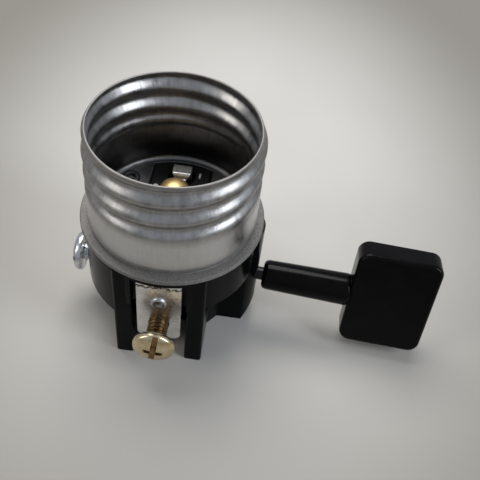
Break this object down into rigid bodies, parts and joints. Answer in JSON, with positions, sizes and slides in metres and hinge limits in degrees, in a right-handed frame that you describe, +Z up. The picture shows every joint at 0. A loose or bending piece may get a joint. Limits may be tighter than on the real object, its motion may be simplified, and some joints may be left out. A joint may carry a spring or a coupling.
{
  "type": "lamp holder interior",
  "caption": "Lamp holder interior: rolled metal screw shell riveted to a black moulded switch body, with two terminal screws and a side turn knob with a flat paddle.",
  "frame": {"origin": "on the axis of the screw shell, at the level of the feet", "axes": "+Z up along the shell axis towards the lamp, +X towards the knob, -Y towards the live terminal, -X towards the neutral terminal"},
  "size_m": [0.0633, 0.0339, 0.041],
  "materials": {
    "shell_metal": "rolled, lightly brushed",
    "moulding": "moulded, semi-gloss",
    "carrier_moulding": "moulded, matte",
    "knob_plastic": "moulded, gloss",
    "contact_brass": "polished",
    "screw_brass": "brass plated",
    "screw_silver": "nickel plated",
    "nickel_plate": "nickel plated",
    "rivet_metal": "satin",
    "blade_copper": "plain",
    "spring_steel": "plain"
  },
  "bodies": {
    "socket": {"screw_shell": "shell_metal", "socket_body": "moulding", "contact_carrier": "carrier_moulding", "shell_rivet_left": "rivet_metal", "shell_rivet_right": "rivet_metal", "centre_contact_spring": "spring_steel", "centre_blade": "blade_copper", "centre_blade_rivet": "rivet_metal", "ring_contact": "nickel_plate", "ring_blade": "blade_copper", "live_strap": "nickel_plate", "live_strap_rivet": "rivet_metal", "neutral_strap": "nickel_plate", "neutral_strap_rivet": "rivet_metal", "line_blade": "blade_copper", "line_blade_rivet": "rivet_metal", "detent_spring": "spring_steel"},
    "knob_switch": {"knob": "knob_plastic", "switch_shaft": "spring_steel", "shaft_clip": "spring_steel", "switch_rotor": "carrier_moulding", "rotor_contact": "blade_copper"},
    "live_terminal_screw": {"live_screw": "screw_brass"},
    "neutral_terminal_screw": {"neutral_screw": "screw_silver"},
    "centre_button": {"centre_contact": "contact_brass"}
  },
  "joints": [
    {"name": "knob_turn", "type": "hinge", "parent": "socket", "child": "knob_switch", "pos_m": [0, 0, 0.0112], "axis": [0.9981, -0.061, 0], "continuous": true},
    {"name": "live_screw_drive", "type": "slide", "parent": "socket", "child": "live_terminal_screw", "axis": [0, 1, 0], "range_m": [0, 0.0038]},
    {"name": "neutral_screw_drive", "type": "slide", "parent": "socket", "child": "neutral_terminal_screw", "axis": [1, 0, 0], "range_m": [0, 0.0023]},
    {"name": "centre_contact_press", "type": "slide", "parent": "socket", "child": "centre_button", "axis": [0, 0, -1], "range_m": [0, 0.0016], "stiffness_N_per_m": 2000, "deforming": ["centre_contact_spring"]}
  ]
}
